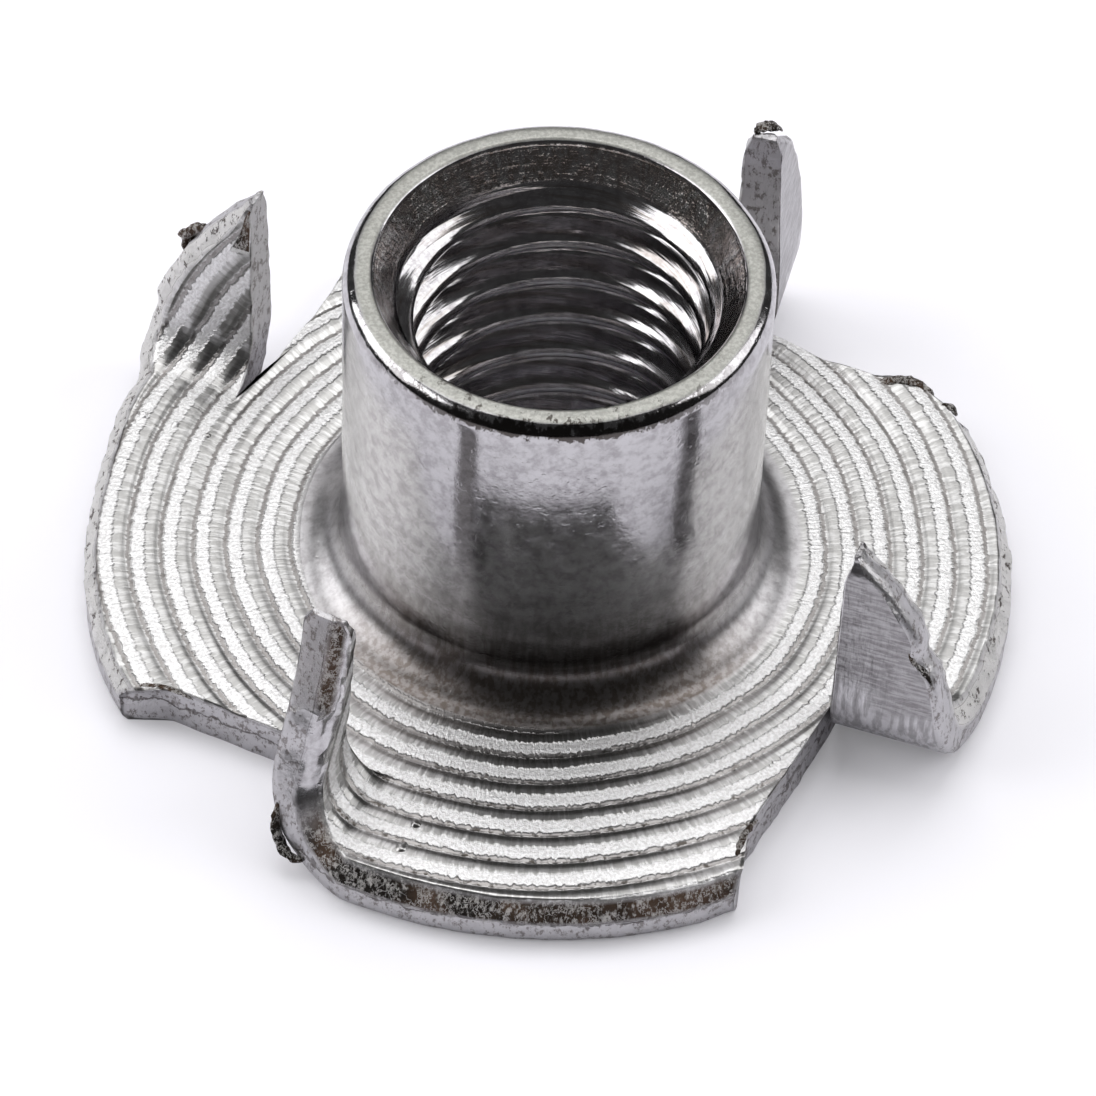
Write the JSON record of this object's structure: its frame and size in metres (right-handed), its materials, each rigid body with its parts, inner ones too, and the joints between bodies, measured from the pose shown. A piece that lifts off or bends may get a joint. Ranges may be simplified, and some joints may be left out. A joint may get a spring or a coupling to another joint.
{
  "type": "four-prong tee nut",
  "caption": "Tee nut: a threaded barrel on a round flange cut into lobes, with sheared prongs bent up beside the barrel to bite into wood.",
  "frame": {"origin": "on the thread axis, at the flange's underside", "axes": "+Z along the thread axis from the flange towards the barrel's open end; the front lobe of the flange faces -Y"},
  "size_m": [0.0224, 0.0223, 0.0104],
  "materials": {
    "steel": "bare bright steel, coined rings on the flange and grey sheared edges"
  },
  "bodies": {
    "root": {"tee_nut": "steel"}
  },
  "joints": []
}
